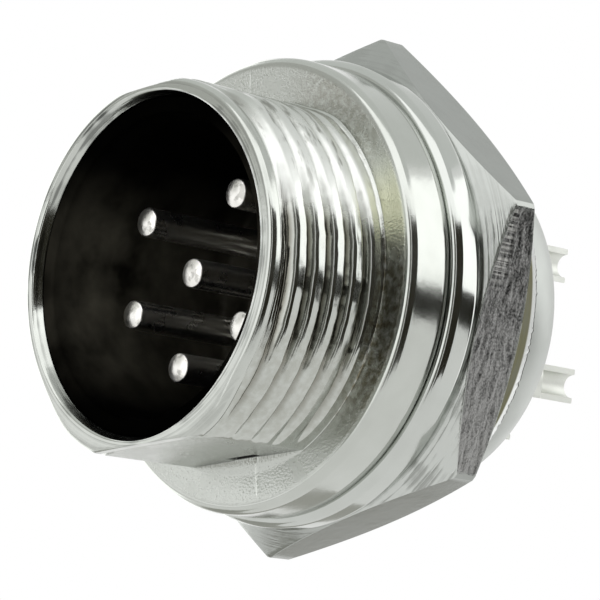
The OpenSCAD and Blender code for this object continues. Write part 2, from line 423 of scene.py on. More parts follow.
# %% [markdown]
# ## The shell's blank
#
# Before its thread is cut the shell is a plain turned form: a thin rim with a bevelled
# mouth, a front barrel, a flange with a rounded front edge, a rear barrel and a rounded
# rear end. Each row of the grid says what happens to it: whether a thread is cut there,
# whether the casting flats reach it, and which of the finishes it has.

# %% Shell profile
THREAD_R = 7.9
BORE_R = 6.8
RIM_R = 7.5
RIM_ROUND = 0.25
FLANGE_R = 9.4
FLANGE_ROUND = 0.35
FLANGE_EDGE = 0.1
MOUTH_Y = -7.7
BEVEL = 0.27
BEVEL_DEEP = 0.52
BARREL_Y = MOUTH_Y + 0.9
FLANGE_Y = -2.1
FILLET = 0.03
REAR_THREAD_Y = 5.9
DOME_R = 5.9
DOME_ROUND = 2.0
DOME_LONG = 3.4
REAR_Y = REAR_THREAD_Y + DOME_LONG
REAR_BORE_R = 5.3
SHOULDER_Y = 3.7

front_rows = int((FLANGE_Y - FILLET - BARREL_Y) * 19)
rear_rows = int(REAR_THREAD_Y * 11)
# Each stretch of the profile with its marks: thread, flats, as cast, turned, satin
shell_stretches = (
    (straight((BORE_R, SHOULDER_Y), (BORE_R, MOUTH_Y + BEVEL_DEEP + 0.02), 5), (0, 0, 0, 0, 0)),
    (straight((BORE_R + 0.01, MOUTH_Y + BEVEL_DEEP - 0.02), (BORE_R + BEVEL - 0.01, MOUTH_Y + 0.02), 5),
     (0, 0, 0, 0.5, 0)),
    (straight((BORE_R + BEVEL, MOUTH_Y), (RIM_R - RIM_ROUND, MOUTH_Y), 4), (0, 0, 0, 1, 0)),
    (rounded(RIM_R - RIM_ROUND, MOUTH_Y + RIM_ROUND, RIM_ROUND, 270, 360, 9), (0, 1, 0, 0.3, 0)),
    (straight((RIM_R, MOUTH_Y + 0.3), (RIM_R, MOUTH_Y + 0.5), 3), (0, 1, 0, 0, 0)),
    (straight((RIM_R, MOUTH_Y + 0.5), (THREAD_R, BARREL_Y), 8), (1, 1, 0, 0, 0)),
    (straight((THREAD_R, BARREL_Y), (THREAD_R, FLANGE_Y - FILLET), front_rows), (1, 1, 0, 0, 0)),
    (rounded(THREAD_R + FILLET, FLANGE_Y - FILLET, FILLET, 180, 90, 2), (0, 1, 0.4, 0, 0)),
    (straight((THREAD_R + FILLET + 0.02, FLANGE_Y), (FLANGE_R - FLANGE_ROUND, FLANGE_Y), 10),
     (0, 0, 1, 0, 0)),
    (rounded(FLANGE_R - FLANGE_ROUND, FLANGE_Y + FLANGE_ROUND, FLANGE_ROUND, 270, 360, 10), (0, 0, 0, 0, 0)),
    (straight((FLANGE_R, FLANGE_Y + 0.4), (FLANGE_R, -FLANGE_EDGE), 5), (0, 0, 0, 0, 0)),
    (straight((FLANGE_R - 0.01, 0.01 - FLANGE_EDGE), (FLANGE_R - FLANGE_EDGE, 0), 3), (0, 0, 0, 0, 0)),
    (straight((FLANGE_R - FLANGE_EDGE - 0.01, 0), (THREAD_R, 0), 4), (0, 0, 0, 0, 0)),
    (straight((THREAD_R, 0), (THREAD_R, REAR_THREAD_Y), rear_rows), (1, 1, 0, 0, 0)),
    (rounded(DOME_R, REAR_THREAD_Y, DOME_ROUND, 0, 88, 24, DOME_LONG / DOME_ROUND), (0, 1, 0, 0, 1)),
    (straight((DOME_R - 0.05, REAR_Y), (REAR_BORE_R + 0.05, REAR_Y), 2), (0, 1, 0, 0, 1)),
    (straight((REAR_BORE_R + 0.05, REAR_Y), (REAR_BORE_R, REAR_Y - 0.05), 1), (0, 0, 0, 0, 0)),
    (straight((REAR_BORE_R, REAR_Y - 0.05), (REAR_BORE_R, SHOULDER_Y), 3), (0, 0, 0, 0, 0)),
    (straight((REAR_BORE_R, SHOULDER_Y), (BORE_R, SHOULDER_Y), 2), (0, 0, 0, 0, 0)),
)
shell_profile = [point for points, _ in shell_stretches for point in points]
profile_r, profile_y = np.array(shell_profile).T
thread_mark, flat_mark, cast_mark, turned_mark, satin_mark = np.array(
    [marks for points, marks in shell_stretches for _ in points], float).T
print("shell profile rows:", len(shell_profile))

# %% [markdown]
# ## Marks of the die
#
# A die casting tells how it was made. A fine ridge crosses the flange's face at top and
# bottom, where the two halves of the die met, and below the barrel the flat stops just
# short of the flange and leaves a slit. The first turn of the thread also swells the rim at
# the lower left. These are small pushes on the grid's points before the thread is cut.

# %% Ridges on the flange
RIDGE_ANGLES = (88.8, -85.7)
RIDGE_HEIGHTS = (0.018, 0.045)
RIDGE_WIDTH = 0.45

ridge_columns = [angle + step for angle in RIDGE_ANGLES for step in (-0.8, -0.45, -0.2, 0.0, 0.2, 0.45, 0.8)]
even_columns = [a for a in np.arange(-180, 180, 1.1) if min(abs(a - r) for r in ridge_columns) > 0.4]
shell_angles = np.sort(np.array(even_columns + ridge_columns))
shell_places = swept(shell_profile, shell_angles)

ridge = sum(height * np.exp(-((shell_angles - angle) / RIDGE_WIDTH) ** 2)
            for angle, height in zip(RIDGE_ANGLES, RIDGE_HEIGHTS))
on_face = (np.abs(profile_y - FLANGE_Y) < 0.3) & (profile_r > THREAD_R + FILLET)
wander = np.array([0.7 + 0.6 * noise.noise(Vector((radius * 4, 0.0, 1.0))) for radius in profile_r])
face_share = np.where(on_face, ramp(FLANGE_R - profile_r, 0.35, 0.7), 0) * wander
shell_places[:, :, 1] -= np.outer(face_share, ridge)
print("ridges at", RIDGE_ANGLES, "degrees round the flange")

# %% Swollen rim, slit, drawn-in crests and mouth bevel
RIM_SWELL = 0.33
SLIT_LONG = 0.6
SLIT_SHARE = 0.115
TOP_DRAW = 0.36
BEVEL_OFF_CENTRE = 0.23

rim_rows = (profile_y < MOUTH_Y + 0.55) & (profile_r > RIM_R - RIM_ROUND)
rim_part = np.where(rim_rows, ramp(profile_r, RIM_R - RIM_ROUND, RIM_R - 0.02), 0)
swell = RIM_SWELL * ramp(shell_angles, -152, -124) * (1 - ramp(shell_angles, -62, -40))
factor = 1 + np.outer(rim_part / profile_r, swell)

slit_rows = ((profile_y > FLANGE_Y - SLIT_LONG) & (profile_y < FLANGE_Y - 0.01)
             & (profile_r < THREAD_R + FILLET))
slit = ramp(shell_angles, -96.5, -94.5) * (1 - ramp(shell_angles, -83, -81))
factor *= 1 - SLIT_SHARE * np.outer(slit_rows, slit)

# The die draws the crests in next to the flat on top, and that runs out on the flange's face
off_side = 90 - np.abs(90 - np.abs(shell_angles))
near_top = ramp(off_side, 46, 66) * (shell_angles > 0)
by_flange = ((profile_y >= FLANGE_Y - FILLET - 0.01) & (profile_y < FLANGE_Y + 0.01)
             & (profile_r < THREAD_R + 0.26))
front_barrel = ((thread_mark > 0) & (profile_y < FLANGE_Y)) * ramp(profile_r, RIM_R, THREAD_R)
front_barrel = np.where(by_flange, 1 - ramp(profile_r, THREAD_R, THREAD_R + 0.25), front_barrel)
factor *= 1 - np.outer(front_barrel, near_top) * TOP_DRAW / THREAD_R

# The mouth was reamed a little off centre, so its bevel is wide on the left and almost gone on the right
bevel_part = ramp(profile_r, BORE_R, BORE_R + BEVEL) * (1 - ramp(profile_r, BORE_R + BEVEL, RIM_R - 0.2))
bevel_part *= profile_y < MOUTH_Y + BEVEL_DEEP
to_right = ramp(np.cos(np.radians(shell_angles)), -0.2, 0.9)
factor *= 1 - np.outer(bevel_part, to_right) * BEVEL_OFF_CENTRE / BORE_R
shell_places[:, :, 0] *= factor
shell_places[:, :, 2] *= factor
print("points pushed in or out:", int((np.abs(factor - 1) > 1e-4).sum()))

# %% Shell grid with its marks
shell = grid_object("threaded_shell", shell_places)
all_round, all_along = np.ones(len(shell_angles)), np.ones(len(shell_profile))
thread_rows = thread_mark * (ramp(FLANGE_Y - FILLET - profile_y, 0, 0.1) + (profile_y > -0.01))
thread_rows *= ramp(REAR_THREAD_Y + 0.1 - profile_y, 0, 0.4)
# The die leaves the grooves shallower towards the flats
shallow_top = 1 - 0.54 * ramp(shell_angles, 4, 30) * (1 - ramp(shell_angles, 150, 176))
shallow_low = 1 - 0.45 * ramp(-shell_angles, 16, 48) * (1 - ramp(-shell_angles, 132, 164))
cast_flats = np.outer(thread_mark, ramp(off_side, 64, 68))
corner_rows = by_flange & (profile_r < THREAD_R + FILLET + 0.01)
upper_left = ramp(shell_angles, 90, 120) + (1 - ramp(shell_angles, -178, -150))
nick_columns = ramp(shell_angles, 2, 34) * (1 - ramp(shell_angles, 56, 70))
scuffed_columns = ramp(shell_angles, 4, 16) * (1 - ramp(shell_angles, 30, 56))
# Film on the flange's face and on the lower crests, and painted shade on the face next to the barrel and in
# the corner between them
face_rows = np.where(on_face, ramp(FLANGE_R - profile_r, 0.3, 0.5), 0)
pale_columns = ramp(shell_angles, -4, 8) * (1 - ramp(shell_angles, 14, 30))
film_and_shade_columns = ramp(shell_angles, -62, -30) * (1 - ramp(shell_angles, -8, 6))
# Painted shade: the face is darker next to the barrel
film_and_shade_columns += 0.42 * ramp(shell_angles, 20, 34) * (1 - ramp(shell_angles, 54, 78))
# Painted shade in the corner where the barrel meets the face
corner_shade_columns = ramp(shell_angles, -60, -40) * (1 - ramp(shell_angles, -4, 14))
grime_columns = 0.22 * ramp(-shell_angles, 14, 34) * (1 - ramp(-shell_angles, 58, 72))
film_and_shade_places = (np.outer(face_rows, film_and_shade_columns) + np.outer(corner_rows, corner_shade_columns)
               + np.outer(thread_mark * (profile_y < FLANGE_Y), grime_columns))

for mark, values in {
        "thread_share": np.outer(thread_rows, (1 - ramp(off_side, 50, 68)) * shallow_top * shallow_low),
        "below_crest": np.outer(np.maximum(THREAD_R - profile_r, 0) * MM, all_round),
        "turn": np.outer(all_along, shell_angles / 360),
        "flat_share": np.outer(flat_mark, all_round),
        "as_cast": np.maximum(np.outer(cast_mark, all_round), 0.8 * cast_flats),
        "turned": np.outer(turned_mark, 0.35 + 0.65 * upper_left),
        "shadowed": np.outer(slit_rows | corner_rows, slit),
        "satin": np.outer(satin_mark, all_round),
        "nicked": np.outer(thread_mark, nick_columns),
        "scuffed": np.outer(thread_mark, scuffed_columns),
        "pale_film": np.outer(face_rows, pale_columns),
        "dark_film": np.minimum(film_and_shade_places, 1)}.items():
    add_attribute(shell, mark, values)
print("shell grid:", len(shell_profile), "rows by", len(shell_angles), "columns")

# %% [markdown]
# ## Cutting the thread with Geometry Nodes
#
# A thread is a rule: at any point, the place along the axis plus the share of a turn says
# where the point lies in one tooth. A Screw modifier could sweep a tooth into a separate
# coil, but then the thread and the barrel are two skins. Here one tree moves the blank's
# own points inwards, so that the thread runs out on the rim's step as a cut one does.
# A curve node holds the tooth's outline: a flat crest, a steep flank, a rounded root and a
# gentler flank back up, with a rounded shoulder.
# The tree then presses both barrels flat at top and bottom, as the die does, wears the
# crests a little with a noise, and keeps the depth as an attribute for the finish.

# %% Thread tree
TOOTH = ((0.0, 0.0), (0.21, 0.0), (0.25, 0.06), (0.45, 0.92), (0.5, 1.0),
         (0.56, 0.92), (0.71, 0.3), (0.785, 0.1), (0.88, 0.0), (1.0, 0.0))


def new_tree(name, sockets):
    tree = bpy.data.node_groups.new(name, "GeometryNodeTree")
    tree.interface.new_socket("Geometry", in_out="INPUT", socket_type="NodeSocketGeometry")
    for socket, kind in sockets:
        tree.interface.new_socket(socket, in_out="INPUT", socket_type="NodeSocket" + kind)
    tree.interface.new_socket("Material", in_out="INPUT", socket_type="NodeSocketMaterial")
    tree.interface.new_socket("Geometry", in_out="OUTPUT", socket_type="NodeSocketGeometry")
    return tree, add_node(tree, "NodeGroupInput").outputs


def end_tree(tree, given, geometry):
    # Every tree ends in real points with the material set on them
    real = add_node(tree, "GeometryNodeRealizeInstances", {"Geometry": geometry}).outputs[0]
    finished = add_node(tree, "GeometryNodeSetMaterial", {
        "Geometry": real, "Material": given["Material"]}).outputs[0]
    add_node(tree, "NodeGroupOutput", {"Geometry": finished})
    return tree


def thread_tree():
    sizes = ("Pitch", "Phase", "Depth", "Wobble", "Wear Height", "Wear Size")
    tree, size = new_tree("cut_thread", [(name, "Float") for name in sizes] + [
        ("Flat Top", "Vector"), ("Flat Bottom", "Vector")])
    share, below, turn, flat = [
        add_node(tree, "GeometryNodeInputNamedAttribute", {"Name": name}, data_type="FLOAT").outputs[0]
        for name in ("thread_share", "below_crest", "turn", "flat_share")]
    place = add_node(tree, "GeometryNodeInputPosition").outputs[0]

    # Where the point lies in one tooth, from 0 to 1
    along = add_node(tree, "ShaderNodeSeparateXYZ", {0: place}).outputs["Y"]
    turns = add_node(tree, "ShaderNodeMath", {0: along, 1: size["Pitch"]}, operation="DIVIDE").outputs[0]
    wound = add_node(tree, "ShaderNodeMath", {0: turns, 1: turn}, operation="ADD").outputs[0]
    shifted = add_node(tree, "ShaderNodeMath", {0: wound, 1: size["Phase"]}, operation="ADD").outputs[0]
    grain = add_node(tree, "ShaderNodeMath", {0: 1.0, 1: size["Wear Size"]}, operation="DIVIDE").outputs[0]
    wear = add_node(tree, "ShaderNodeTexNoise", {
        "Vector": place, "Scale": grain, "Detail": 3.0}).outputs["Fac"]
    # A cast thread is never quite even, so the same noise also lets the tooth wander
    wandering = add_node(tree, "ShaderNodeMath", {
        0: wear, 1: size["Wobble"], 2: shifted}, operation="MULTIPLY_ADD").outputs[0]
    within = add_node(tree, "ShaderNodeMath", {0: wandering}, operation="FRACT").outputs[0]
    tooth = add_node(tree, "ShaderNodeFloatCurve", {"Value": within})
    outline = tooth.mapping.curves[0].points
    outline[0].location, outline[-1].location = TOOTH[0], TOOTH[-1]
    for spot in TOOTH[1:-1]:
        outline.new(*spot)
    for point in outline:
        point.handle_type = "AUTO_CLAMPED"
    tooth.mapping.update()
    cut_share = add_node(tree, "ShaderNodeMath", {
        0: tooth.outputs[0], 1: share}, operation="MULTIPLY").outputs[0]

    # How far the point moves in: the cut below the crest, less what the blank is already below it, and wear
    cut = add_node(tree, "ShaderNodeMath", {0: cut_share, 1: size["Depth"]}, operation="MULTIPLY").outputs[0]
    left = add_node(tree, "ShaderNodeMath", {0: cut, 1: below}, operation="SUBTRACT").outputs[0]
    kept = add_node(tree, "ShaderNodeMath", {0: left, 1: 0.0}, operation="MAXIMUM").outputs[0]
    worn = add_node(tree, "ShaderNodeMath", {
        0: wear, 1: size["Wear Height"]}, operation="MULTIPLY").outputs[0]
    inwards = add_node(tree, "ShaderNodeMath", {
        0: worn, 1: share, 2: kept}, operation="MULTIPLY_ADD").outputs[0]
    shrink = add_node(tree, "ShaderNodeMath", {0: inwards, 1: -1.0}, operation="MULTIPLY").outputs[0]
    level = add_node(tree, "ShaderNodeVectorMath", {
        0: place, 1: (1.0, 0.0, 1.0)}, operation="MULTIPLY").outputs[0]
    outwards = add_node(tree, "ShaderNodeVectorMath", {0: level}, operation="NORMALIZE").outputs[0]
    offset = add_node(tree, "ShaderNodeVectorMath", {
        0: outwards, "Scale": shrink}, operation="SCALE").outputs[0]
    kept_depth = add_node(tree, "GeometryNodeStoreNamedAttribute", {
        "Geometry": size["Geometry"], "Name": "groove", "Value": cut_share},
        data_type="FLOAT", domain="POINT").outputs[0]
    threaded = add_node(tree, "GeometryNodeSetPosition", {
        "Geometry": kept_depth, "Offset": offset}).outputs[0]

    # The flats: no point of the barrels stands higher or lower than they do
    not_above = add_node(tree, "ShaderNodeVectorMath", {
        0: place, 1: size["Flat Top"]}, operation="MINIMUM").outputs[0]
    pressed = add_node(tree, "ShaderNodeVectorMath", {
        0: not_above, 1: size["Flat Bottom"]}, operation="MAXIMUM").outputs[0]
    on_barrel = add_node(tree, "FunctionNodeCompare", {
        0: flat, 1: 0.5}, data_type="FLOAT", operation="GREATER_THAN").outputs[0]
    flattened = add_node(tree, "GeometryNodeSetPosition", {
        "Geometry": threaded, "Selection": on_barrel, "Position": pressed}).outputs[0]
    return end_tree(tree, size, flattened)


def run_tree(made, tree, values):
    modifier = made.modifiers.new(tree.name, "NODES")
    modifier.node_group = tree
    for item in tree.interface.items_tree:
        if item.item_type == "SOCKET" and item.in_out == "INPUT" and item.name in values:
            modifier[item.identifier] = values[item.name]
    settle(made)


print("tooth outline points:", len(TOOTH))

# %% Cut the shell's thread
PITCH = 1.0

run_tree(shell, thread_tree(), {
    "Pitch": PITCH * MM, "Phase": 0.44, "Depth": 0.47 * MM, "Wobble": 0.1,
    "Wear Height": 0.06 * MM, "Wear Size": 0.55 * MM,
    "Flat Top": (1.0, 1.0, FLAT_Z * MM), "Flat Bottom": (-1.0, -1.0, -FLAT_Z * MM), "Material": casting})
dress(shell, "connector", "nickel_casting", "shell")

# %% [markdown]
# ## The black cup
#
# The insulator is a cup moulded in black thermoset. Its wall lines the bore and its floor
# holds the pins. Seen from the mouth it is almost black, with a soft sheen on the wall, so
# the finish is a dark, half-gloss plastic with a very fine moulding grain.

# %% Black moulding
moulding = bpy.data.materials.new("black_moulded_phenolic")
moulding.use_nodes = True
moulding_tree = moulding.node_tree
moulding_shader = moulding_tree.nodes["Principled BSDF"]
moulding_shader.inputs["IOR"].default_value = 1.5
moulding_place = add_node(moulding_tree, "ShaderNodeTexCoord").outputs["Object"]
moulding_axes = add_node(moulding_tree, "ShaderNodeSeparateXYZ", {"Vector": moulding_place}).outputs
off_middle = add_node(moulding_tree, "ShaderNodeMath", {
    0: moulding_axes["Z"]}, operation="ABSOLUTE").outputs[0]
# Flow marks about 2 mm across change the gloss, and a 0.2 mm grain breaks the sheen
flow = add_node(moulding_tree, "ShaderNodeTexNoise", {
    "Vector": moulding_place, "Scale": 1 / (2.0 * MM), "Detail": 3.0}).outputs["Fac"]
moulding_tint = add_node(moulding_tree, "ShaderNodeMix", {
    "Factor": flow, "A": linear("#010101"), "B": linear("#050504")}, data_type="RGBA").outputs["Result"]
# The middle of the cavity's wall is tinted a lighter, dark olive in patches, and the edge, the top and the
# bottom stay black.
# The moulded edge at the mouth is matt, and the wall behind it has a weak sheen.
near_middle, past_mouth_edge, short_of_floor, olive_patches, sheen, gloss = [
    add_node(moulding_tree, "ShaderNodeMapRange", {
        "Value": value, "From Min": start, "From Max": stop, "To Min": first, "To Max": last},
        interpolation_type=kind).outputs["Result"]
    for value, start, stop, first, last, kind in (
        (off_middle, 1.5 * MM, 5.5 * MM, 1.0, 0.0, "SMOOTHSTEP"),
        (moulding_axes["Y"], -8.6 * MM, -5.0 * MM, 0.0, 1.0, "SMOOTHSTEP"),
        (moulding_axes["Y"], 2.4 * MM, 3.0 * MM, 1.0, 0.0, "LINEAR"),
        (flow, 0.25, 0.7, 0.0, 1.0, "LINEAR"),
        (moulding_axes["Y"], -7.1 * MM, -6.0 * MM, 0.0, 0.03, "LINEAR"),
        (flow, 0.0, 1.0, 0.34, 0.5, "LINEAR"))]
olive_share = near_middle
for share in (past_mouth_edge, short_of_floor):
    olive_share = add_node(moulding_tree, "ShaderNodeMath", {
        0: olive_share, 1: share}, operation="MULTIPLY").outputs[0]
coated(moulding_tree, moulding_shader, moulding_tint, gloss, ((olive_share, olive_patches, "#57544A", 0),))
moulding_tree.links.new(sheen, moulding_shader.inputs["Specular IOR Level"])
moulding_grain = add_node(moulding_tree, "ShaderNodeTexNoise", {
    "Vector": moulding_place, "Scale": 1 / (0.2 * MM)})
moulding_bump = add_node(moulding_tree, "ShaderNodeBump", {
    "Height": moulding_grain.outputs["Fac"], "Distance": 0.006 * MM})
moulding_tree.links.new(moulding_bump.outputs["Normal"], moulding_shader.inputs["Normal"])
print("finish made:", moulding.name)

# %% [markdown]
# ## Six contacts from one
#
# Each contact is one turned pin: a slightly domed tip with a broken edge, a plain shank, a
# root held in the plastic and a solder cup with one half milled away, so that a wire can be
# laid in. It is turned once, the milling is a Boolean cut, and Geometry Nodes set it on the
# six places of the face, all turned the same way.

# %% Contact places
CONTACT_R = 3.83
CONTACT_ANGLES = (47.7, 137.7, 197.7, 257.7, 317.7)
CUP_ANGLE = -10.0

face_mesh = bpy.data.meshes.new("contact_places")
face_mesh.from_pydata([
    (CONTACT_R * MM * math.cos(math.radians(a)), 0, CONTACT_R * MM * math.sin(math.radians(a)))
    for a in CONTACT_ANGLES] + [(0, 0, 0)], [], [])
print("contacts:", len(face_mesh.vertices))


# %% Tree that sets one shape on every contact place
def contact_tree():
    tree, given = new_tree("set_on_contact_places", [("Shape", "Object"), ("Turn", "Vector")])
    shape = add_node(tree, "GeometryNodeObjectInfo", {"Object": given["Shape"]}).outputs["Geometry"]
    set_down = add_node(tree, "GeometryNodeInstanceOnPoints", {
        "Points": given["Geometry"], "Instance": shape, "Rotation": given["Turn"]}).outputs[0]
    return end_tree(tree, given, set_down)


places_tree = contact_tree()


def set_on_places(name, shape, material):
    made = bpy.data.objects.new(name, face_mesh.copy())
    scene.collection.objects.link(made)
    turn = (0.0, -math.radians(CUP_ANGLE), 0.0)
    run_tree(made, places_tree, {"Shape": shape, "Turn": turn, "Material": material})
    bpy.data.objects.remove(shape)
    return made


def cut_with(made, tool):
    modifier = made.modifiers.new("milled", "BOOLEAN")
    modifier.operation = "DIFFERENCE"
    modifier.solver = "EXACT"
    modifier.object = tool
    settle(made)
    bpy.data.objects.remove(tool)


print("cups open towards", CUP_ANGLE, "degrees")

# %% One contact
PIN_R = 0.6
TIP_DOME_R = 1.2
TIP_EDGE = 0.1
TIP_EDGE_BEHIND = 0.205
ROOT_R = 0.85
CUP_R = 0.75
CUP_BORE_R = 0.5
CUP_EDGE = 0.04
TIP_Y = -5.25
FLOOR_Y = 2.1
SEAT_Y = 4.1
CUP_END_Y = 14.55
CUP_BORE_Y = 10.55
SCOOP_Y = 12.5

round_angles = np.arange(0, 360, 7.5)
contact_profile = (
    [(0, TIP_Y)] + rounded(0, TIP_Y + TIP_DOME_R, TIP_DOME_R, 273, 294.0, 7)
    + rounded(PIN_R - TIP_EDGE, TIP_Y + TIP_EDGE_BEHIND, TIP_EDGE, 304, 360, 5)
    + [(PIN_R, FLOOR_Y - 0.2), (ROOT_R, FLOOR_Y), (ROOT_R, SEAT_Y), (CUP_R, SEAT_Y),
       (CUP_R, CUP_END_Y - CUP_EDGE)]
    + [(CUP_R - CUP_EDGE, CUP_END_Y), (CUP_BORE_R + CUP_EDGE, CUP_END_Y), (CUP_BORE_R, CUP_END_Y - CUP_EDGE)]
    + [(CUP_BORE_R, CUP_BORE_Y + 0.2), (0, CUP_BORE_Y)])
contact = grid_object("one_contact", swept(contact_profile, round_angles), closed_profile=False)

# The cutter is the shape that the mill leaves: a slope up to the axis and then straight along it
scoop_outline = ((0, SCOOP_Y), (2, SCOOP_Y - 2), (2, CUP_END_Y + 1), (0, CUP_END_Y + 1))
scoop_mesh = bpy.data.meshes.new("scoop")
scoop_mesh.from_pydata(
    [(x * MM, y * MM, z * MM) for z in (-2, 2) for x, y in scoop_outline], [],
    [(3, 2, 1, 0), (4, 5, 6, 7)] + [(i, (i + 1) % 4, (i + 1) % 4 + 4, i + 4) for i in range(4)])
scoop = bpy.data.objects.new("scoop", scoop_mesh)
scene.collection.objects.link(scoop)
cut_with(contact, scoop)
contact.data.set_sharp_from_angle(angle=math.radians(38))

# %% [markdown]
# ## Bright contact plating
#
# The pins are brass with a bright tin plate. They were turned from bar, so the eye sees
# faint lines round the shank and a pale, slightly clouded tip. The same noise as above is
# squeezed along the axis to draw those lines. Plugs leave grey smudges on the tips, and
# storage has dulled the solder cups behind the shell to a pale, matt grey.

# %% Contact finish
(plating, plating_tree, plating_shader, plating_place,
 plating_tint, plating_rough, plating_grain) = plated_metal(
    "bright_tin_on_brass", "#FBFAF6", "#EEECE6", (0.24, 0.34), 0.16, 0.008)
# Turning marks really are about 0.03 mm apart; drawn at 0.12 mm so that they show
stretch = add_node(plating_tree, "ShaderNodeMapping", {
    "Vector": plating_place, "Scale": (0.1, 1.0, 0.1)}).outputs[0]
marks = add_node(plating_tree, "ShaderNodeTexNoise", {
    "Vector": stretch, "Scale": 1 / (0.12 * MM)}).outputs["Fac"]
marks_bump = add_node(plating_tree, "ShaderNodeBump", {
    "Height": marks, "Distance": 0.004 * MM, "Normal": plating_grain}).outputs["Normal"]
plating_tree.links.new(marks_bump, plating_shader.inputs["Normal"])
# Smudges are about 0.4 mm across
smudges = add_node(plating_tree, "ShaderNodeTexNoise", {
    "Vector": plating_place, "Scale": 1 / (0.4 * MM), "Detail": 4.0}).outputs["Fac"]
plating_along = add_node(plating_tree, "ShaderNodeSeparateXYZ", {"Vector": plating_place}).outputs["Y"]
behind, at_tip, smudge = [
    add_node(plating_tree, "ShaderNodeMapRange", {
        "Value": value, "From Min": start, "From Max": stop,
        "To Min": first, "To Max": last}).outputs["Result"]
    for value, start, stop, first, last in (
        (plating_along, 8.0 * MM, 10.0 * MM, 0.0, 1.0), (plating_along, -5.1 * MM, -4.9 * MM, 1.0, 0.0),
        (smudges, 0.52, 0.62, 0.0, 0.55))]
coated(plating_tree, plating_shader, plating_tint, plating_rough, (
    (behind, 1.0, "#DEE0DA", 0.28), (smudge, at_tip, "#7E7D76", 0)))

contacts = set_on_places("contact_set", contact, plating)
dress(contacts, "connector", "contact_plating", *["contact_%d" % i for i in range(1, 7)])

# %% Insulator with six holes for the contacts
CUP_OUTER_R = 6.78
CUP_INNER_R = 6.18
CUP_EDGE_Y = -7.3
CUP_CORNER = 0.25
CUP_LIP_ROUND = 0.12
CUP_RIM_ROUND = 0.06
SEAT_EDGE = 0.1
PLUG_EDGE = 0.12
PLUG_R = 5.28
BACK_Y = 8.9
HOLE_GAP = 0.02

cup_profile = (
    [(0, FLOOR_Y), (CUP_INNER_R - 0.3, FLOOR_Y)]
    + rounded(CUP_INNER_R - CUP_CORNER, FLOOR_Y - CUP_CORNER, CUP_CORNER, 90, 0, 5)
    + straight((CUP_INNER_R, FLOOR_Y - 0.4), (CUP_INNER_R, CUP_EDGE_Y + 0.3), 6)
    + rounded(CUP_INNER_R + CUP_LIP_ROUND, CUP_EDGE_Y + CUP_LIP_ROUND, CUP_LIP_ROUND, 180, 270, 4)
    + rounded(CUP_OUTER_R - CUP_RIM_ROUND, CUP_EDGE_Y + CUP_RIM_ROUND, CUP_RIM_ROUND, 270, 360, 4)
    + [(CUP_OUTER_R, CUP_EDGE_Y + 0.3), (CUP_OUTER_R, SHOULDER_Y - SEAT_EDGE)]
    + [(CUP_OUTER_R - SEAT_EDGE, SHOULDER_Y), (PLUG_R, SHOULDER_Y), (PLUG_R, BACK_Y - PLUG_EDGE)]
    + [(PLUG_R - PLUG_EDGE, BACK_Y), (0, BACK_Y)])
insulator = grid_object("insulator_cup", swept(cup_profile, np.arange(0, 360, 2.5)), closed_profile=False)

drill_profile = [(0, FLOOR_Y - 1), (ROOT_R + HOLE_GAP, FLOOR_Y - 1), (ROOT_R + HOLE_GAP, SEAT_Y),
                 (CUP_R + HOLE_GAP, SEAT_Y), (CUP_R + HOLE_GAP, BACK_Y + 1), (0, BACK_Y + 1)]
drill = grid_object("one_drill", swept(drill_profile, round_angles), closed_profile=False)
cut_with(insulator, set_on_places("drills", drill, moulding))
insulator.data.materials.clear()
insulator.data.materials.append(moulding)
insulator.data.set_sharp_from_angle(angle=math.radians(40))
dress(insulator, "connector", "black_moulding", "insulator")

# %% [markdown]
# ## The washer
#
# Between the flange and the nut sits a thick washer with fully rounded outer edges. It is
# tumbled before plating, so it is the smoothest nickel on the part: a soft mirror with a few
# fine handling marks.

# %% Washer
WASHER_R = 9.75
WASHER_BORE_R = 7.98
WASHER_Y = 0.04
WASHER_END_Y = 1.46
WASHER_ROUND = 0.4
WASHER_EDGE = 0.05

tumbled, *_ = plated_metal("tumbled_nickel_on_steel", "#C9CCC8", "#BEC1BC", (0.08, 0.15), 0.8, 0.004)
washer_profile = (
    straight((WASHER_BORE_R, WASHER_END_Y - WASHER_EDGE), (WASHER_BORE_R, WASHER_Y + WASHER_EDGE), 3)
    + straight((WASHER_BORE_R + WASHER_EDGE, WASHER_Y), (WASHER_R - WASHER_ROUND, WASHER_Y), 4)
    + rounded(WASHER_R - WASHER_ROUND, WASHER_Y + WASHER_ROUND, WASHER_ROUND, 270, 360, 14)
    + rounded(WASHER_R - WASHER_ROUND, WASHER_END_Y - WASHER_ROUND, WASHER_ROUND, 0, 90, 14)
    + straight((WASHER_R - WASHER_ROUND - WASHER_EDGE, WASHER_END_Y),
               (WASHER_BORE_R + WASHER_EDGE, WASHER_END_Y), 4))
washer = grid_object("rounded_washer", swept(washer_profile, np.arange(0, 360, 1.5)))
washer.data.materials.append(tumbled)
print("washer is", round(WASHER_END_Y - WASHER_Y, 2), "mm thick")
dress(washer, "washer", "nickel_washer", "washer")

# %% [markdown]
# ## The hex nut
#
# The nut is cut from hexagon bar and turned on both ends in a lathe, so its edges follow
# a rule: the flats are at one distance from the axis, each chamfer is a cone, and where the
# two meet the edge is a curve. Behind the hexagon it narrows in a tapered collar with a lip.
# Columns are placed on the corners and rows on the chamfers, and a Bevel
# modifier breaks the edges as plating does. Attributes tell the finish which faces are
# turned and where a blunt tool has torn the metal: one flat was shaved badly,
# so that flat has many more columns.

